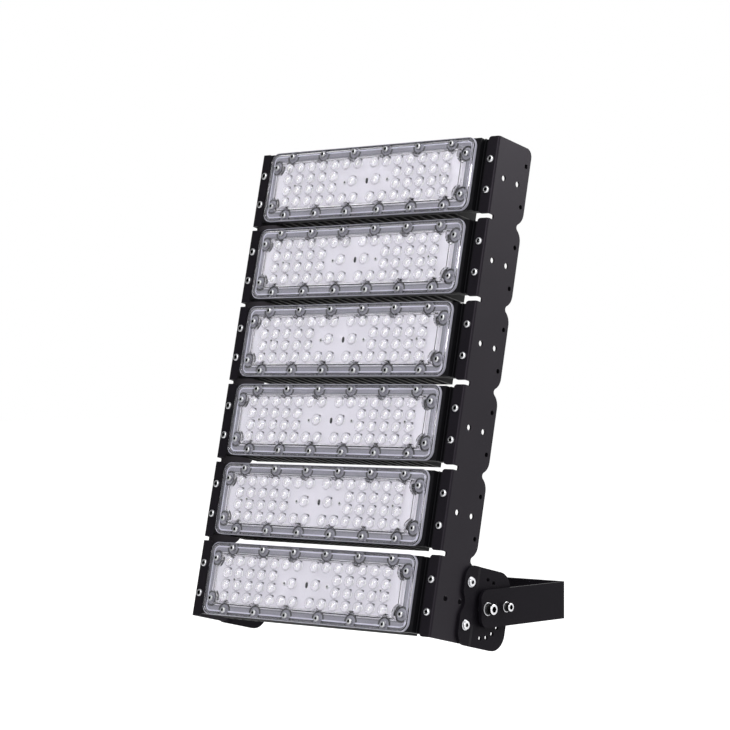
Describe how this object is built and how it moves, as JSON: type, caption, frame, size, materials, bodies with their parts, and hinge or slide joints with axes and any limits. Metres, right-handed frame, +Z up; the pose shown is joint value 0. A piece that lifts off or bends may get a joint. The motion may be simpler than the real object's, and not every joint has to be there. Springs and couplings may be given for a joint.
{
  "type": "modular led floodlight with tilting yoke",
  "caption": "Modular LED floodlight: a column of clear lens modules between two folded black side rails, tilting in a flat-bar yoke that bolts to a wall, mast or crossarm.",
  "frame": {"origin": "centre of the yoke's flat rear face, on the axis of its middle hole", "axes": "+Y out of the yoke's rear face, away from the lamp; +Z up; +X to the right of someone who looks along +Y at the lamp's lenses"},
  "size_m": [0.3834, 0.2329, 0.5452],
  "materials": {
    "black_coat": "satin black powder coat",
    "heatsink_black": "black coated aluminium",
    "clear_lens": "clear moulded polycarbonate",
    "white_board": "white solder-masked board",
    "gland_black": "black moulded nylon",
    "spacer_black": "black nylon",
    "bolt_steel": "plain stainless steel"
  },
  "bodies": {
    "yoke": {"yoke": "black_coat", "left_pivot_bolt": "bolt_steel", "right_pivot_bolt": "bolt_steel", "left_lock_bolt": "bolt_steel", "right_lock_bolt": "bolt_steel", "left_pivot_spacer": "spacer_black", "right_pivot_spacer": "spacer_black"},
    "head": {"left_rail": "black_coat", "right_rail": "black_coat", "heatsink_1": "heatsink_black", "heatsink_2": "heatsink_black", "heatsink_3": "heatsink_black", "heatsink_4": "heatsink_black", "heatsink_5": "heatsink_black", "heatsink_6": "heatsink_black", "light_board_1": "white_board", "light_board_2": "white_board", "light_board_3": "white_board", "light_board_4": "white_board", "light_board_5": "white_board", "light_board_6": "white_board", "lens_1": "clear_lens", "lens_2": "clear_lens", "lens_3": "clear_lens", "lens_4": "clear_lens", "lens_5": "clear_lens", "lens_6": "clear_lens", "cable_gland_1": "gland_black", "cable_gland_2": "gland_black", "cable_gland_3": "gland_black", "cable_gland_4": "gland_black", "cable_gland_5": "gland_black", "cable_gland_6": "gland_black", "left_pivot_plate": "black_coat", "right_pivot_plate": "black_coat", "left_plate_bolts": "bolt_steel", "right_plate_bolts": "bolt_steel"}
  },
  "joints": [
    {"name": "head_tilt", "type": "hinge", "parent": "yoke", "child": "head", "pos_m": [0, -0.137, 0], "axis": [1, 0, 0], "range_deg": [-75.4, 100.6]}
  ]
}
